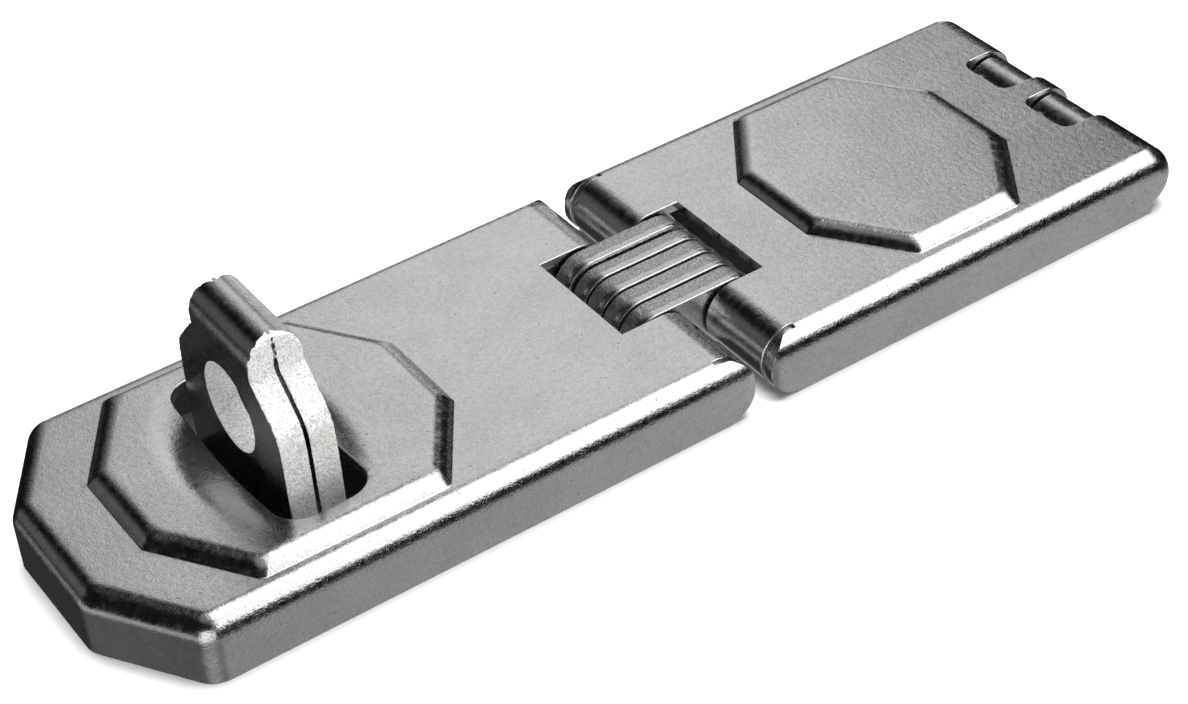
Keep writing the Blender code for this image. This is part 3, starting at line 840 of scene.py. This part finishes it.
def steel(name, level, rough, grain, contrast=0.25, torn=0.0, rim=0.0, metal=1.0):
    """Plated steel: sandy grain, pits, cloudy patches, faint draw marks and uneven gloss.

    Grain is the depth of its sand in millimetres, contrast how dark the sand is, torn the depth
    of crumbled metal, and rim the depth of the sandy band along a leaf's upright long sides.
    """
    material = bpy.data.materials.new(name)
    material.use_nodes = True
    tree = Tree(material.node_tree)
    place = tree.add("ShaderNodeTexCoord").outputs["Object"]
    drawn = tree.add("ShaderNodeMapping", {"Vector": place, "Rotation": (0.0, 0.0, 0.5),
                                           "Scale": (0.22, 1.0, 1.0)}).outputs[0]
    sand = tree.noise(place, 0.24, 2.0, 0.65)
    coarse = tree.noise(place, 0.8, 2.0)
    cloud = tree.noise(place, 8.0, 3.0)
    marks = tree.noise(drawn, 2.2, 3.0, 0.6)
    pits = tree.smooth(tree.noise(place, 0.42, 1.0), 0.735, 0.80)
    flecks = tree.smooth(tree.noise(place, 0.30, 0.0), 0.74, 0.86)
    tone = tree.math("ADD", tree.smooth(cloud, 0.30, 0.72, 0.0, 0.6),
                     tree.smooth(marks, 0.3, 0.7, 0.0, 0.4))
    colour = tree.mix(tone, grey(level * 0.92, 0.012), grey(level * 1.06, 0.002))
    darker = tree.mix(contrast, colour, grey(level * 0.25, 0.03))
    colour = tree.mix(tree.smooth(sand, 0.30, 0.62), darker, colour)
    colour = tree.mix(tree.math("MULTIPLY", flecks, contrast), colour, grey(min(level * 1.5, 0.95)))
    colour = tree.mix(tree.math("MULTIPLY", pits, 0.6), colour, grey(level * 0.18, 0.05))
    gloss = tree.math("ADD", tree.smooth(coarse, 0.25, 0.75, rough - 0.06, rough + 0.05),
                      tree.smooth(marks, 0.35, 0.7, 0.0, 0.05))
    height = tree.math("MULTIPLY", sand, grain)
    height = tree.math("ADD", height, tree.math("MULTIPLY", coarse, grain * 1.2))
    height = tree.math("SUBTRACT", height, tree.math("MULTIPLY", pits, 0.012))
    if rim:
        _, y, z = tree.add("ShaderNodeSeparateXYZ", {0: place}).outputs
        across = tree.math("ABSOLUTE", y)
        band = tree.math("MULTIPLY", tree.smooth(across, 21.2 * MM, 22.2 * MM),
                         tree.smooth(z, 8.4 * MM, 7.6 * MM))
        band = tree.math("MULTIPLY", band, tree.smooth(z, 4.6 * MM, 6.0 * MM))
        grit = tree.math("MULTIPLY", band, tree.noise(place, 0.42, 3.0, 0.6))
        height = tree.math("ADD", height, tree.math("MULTIPLY", grit, rim))
    if torn:
        crumble = tree.noise(place, 0.55, 4.0, 0.7)
        height = tree.math("ADD", height, tree.math("MULTIPLY", crumble, torn))
    bump = tree.add("ShaderNodeBump", {"Height": height, "Strength": 1.0, "Distance": MM})
    shader = tree.add("ShaderNodeBsdfPrincipled", {
        "Base Color": colour, "Metallic": metal, "Roughness": gloss, "Normal": bump.outputs[0]})
    tree.add("ShaderNodeOutputMaterial", {"Surface": shader.outputs[0]})
    return material


# ---------------------------------------------------------------- stage, light and camera

def make_floor():
    """The plain pale floor, which the steel doesn't mirror."""
    built = bmesh.new()
    ring = ring_of(built, [(x, y, 0.0) for x, y in rectangle(-FLOOR, FLOOR, -FLOOR, FLOOR)])
    built.faces.new(ring)
    floor = to_object("floor", built, pieces)
    material = bpy.data.materials.new("pale_floor")
    material.use_nodes = True
    shader = material.node_tree.nodes["Principled BSDF"]
    shader.inputs["Base Color"].default_value = (0.90, 0.90, 0.89, 1.0)
    shader.inputs["Roughness"].default_value = 0.9
    floor.data.materials.append(material)
    floor.visible_glossy = False


def make_light():
    """An overhead softbox for the floor, and a studio of soft panels for the steel to mirror."""
    lamp = bpy.data.lights.new("overhead", "AREA")
    lamp.shape = "RECTANGLE"
    lamp.size = 1.2
    lamp.size_y = 0.9
    lamp.energy = 30.0
    overhead = bpy.data.objects.new("overhead", lamp)
    place = Vector((0.15, 0.25, 1.1))
    overhead.location = place
    overhead.rotation_euler = (-place).to_track_quat("-Z", "Y").to_euler()
    overhead.visible_glossy = False
    bpy.context.scene.collection.objects.link(overhead)

    world = bpy.data.worlds.new("studio")
    bpy.context.scene.world = world
    world.use_nodes = True
    tree = Tree(world.node_tree)
    way = tree.add("ShaderNodeTexCoord").outputs["Generated"]
    x, y, z = tree.add("ShaderNodeSeparateXYZ", {0: way}).outputs
    turn = tree.math("ARCTAN2", x, y)

    def product(*parts):
        total = parts[0]
        for part in parts[1:]:
            total = tree.math("MULTIPLY", total, part)
        return total

    def angled(value, start, end, low=0.0):
        """A smooth step between two angles in degrees."""
        return tree.smooth(value, math.radians(start), math.radians(end), low)

    # Each panel is bounded by the way it lies in: its turn from +Y towards +X, and x, y and z.
    # The big one behind the far side gives the tops their grey, and darkens them to the right.
    lean = tree.math("ADD", turn, tree.math("MULTIPLY", tree.math("SUBTRACT", 0.545, z), 0.9))
    back = product(angled(turn, 6, 26, 0.25), angled(lean, 45.5, 40), angled(turn, -8, 7),
                   tree.smooth(z, 0.10, 0.28), tree.smooth(z, 0.83, 0.76), 0.88)
    # This one lights the right side of the staple's fold.
    side = product(angled(turn, 34, 38), angled(turn, 48, 44),
                   tree.smooth(z, 0.44, 0.30), tree.smooth(z, -0.36, -0.22), 0.85)
    # The bright one on the right makes the white bands along the near edges.
    front = product(tree.smooth(x, 0.05, 0.22), tree.smooth(x, 0.80, 0.66),
                    tree.smooth(y, 0.37, 0.29), tree.smooth(z, 0.31, 0.44), 2.0)
    # A dim one is mirrored in the slopes that look to the nose.
    left = product(angled(turn, -24, -34), angled(turn, -66, -48),
                   tree.smooth(z, 0.60, 0.48), tree.smooth(z, 0.0, 0.12), 0.13)
    # One on the near left and one below it light the clipped nose and the torn edges.
    corner = product(angled(turn, -178, -156), angled(turn, -108, -130),
                     tree.smooth(z, -0.95, 0.10), tree.smooth(z, 0.50, 0.30), 1.5)
    low_left = product(tree.smooth(x, -0.5, -0.8), tree.smooth(z, -0.06, -0.16),
                       tree.smooth(z, -0.52, -0.34), 0.5)
    # Low ones are mirrored in the rolled ends, and in the upright walls, as a bench would be.
    low_back = product(tree.smooth(y, 0.45, 0.60), tree.smooth(x, 0.68, 0.52),
                       tree.smooth(x, 0.10, 0.24), tree.smooth(z, 0.02, -0.08), 0.62)
    below = product(tree.smooth(z, -0.34, -0.54), tree.smooth(x, -0.3, 0.6, 0.11, 0.48),
                    tree.smooth(y, 0.3, 0.6, 1.0, 0.25))
    # The last is straight overhead, so that the tops aren't black from above.
    above = product(tree.smooth(z, 0.90, 0.97), 0.28)
    total = 0.006
    for panel in (back, side, front, left, corner, low_left, low_back, below, above):
        total = tree.math("ADD", total, panel)
    background = tree.add("ShaderNodeBackground",
                          {"Strength": total, "Color": (1.0, 0.995, 0.985, 1.0)})
    tree.add("ShaderNodeOutputWorld", {"Surface": background.outputs[0]})


def make_camera():
    """The photograph's view: from the near side and the nose, well above, with a slight roll."""
    turn, rise, roll = (math.radians(angle) for angle in (-31.944, 38.622, -4.404))
    aim = Vector((-0.005155, -0.005703, 0.004959))
    back = Vector((math.sin(turn) * math.cos(rise), -math.cos(turn) * math.cos(rise),
                   math.sin(rise)))
    right = (-back).cross(Vector((0, 0, 1))).normalized()
    up = right.cross(-back)
    side = math.cos(roll) * right + math.sin(roll) * up
    top = math.cos(roll) * up - math.sin(roll) * right
    camera = bpy.data.objects.new("camera", bpy.data.cameras.new("camera"))
    camera.data.sensor_width = 36.0
    camera.data.lens = 80.93
    camera.data.clip_start = 0.01
    camera.data.clip_end = 20.0
    distance = 0.33237
    camera.matrix_world = Matrix.Translation(aim + back * distance) @ Matrix(
        (side, top, back)).transposed().to_4x4()
    bpy.context.scene.collection.objects.link(camera)
    bpy.context.scene.camera = camera


# ---------------------------------------------------------------- the scene

make_camera()
make_floor()
make_light()
bpy.context.scene.view_settings.view_transform = "Standard"

leaf_steel = steel("leaf_steel", 0.68, 0.20, 0.024, rim=0.07)
# A near-black copy of the leaves' steel: painted shade for their undersides and inner walls.
painted_shade_steel = steel("painted_shade_steel", 0.08, 0.50, 0.022)
link_steel = steel("link_steel", 0.70, 0.24, 0.024)
link_torn = steel("link_torn_steel", 0.80, 0.30, 0.044, 0.8, torn=0.13)
torn_steel = steel("torn_steel", 0.98, 0.40, 0.040, 0.60, torn=0.22, metal=0.25)
staple_steel = steel("staple_steel", 0.60, 0.20, 0.024)
plate_steel = steel("plate_steel", 0.62, 0.24, 0.016)
pin_steel = steel("pin_steel", 0.55, 0.25, 0.010)

make_hasp_leaf([leaf_steel, painted_shade_steel])
make_cover_leaf([leaf_steel, painted_shade_steel])
for plate_number in range(1, 6):
    make_link_plate(plate_number, [link_steel, link_torn])
make_staple([staple_steel, torn_steel])
make_hinge_plate(plate_steel)
for pin in ("hasp_link_pin", "cover_link_pin", "hinge_pin"):
    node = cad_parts[pin]
    node.data.materials.clear()
    node.data.materials.append(pin_steel)
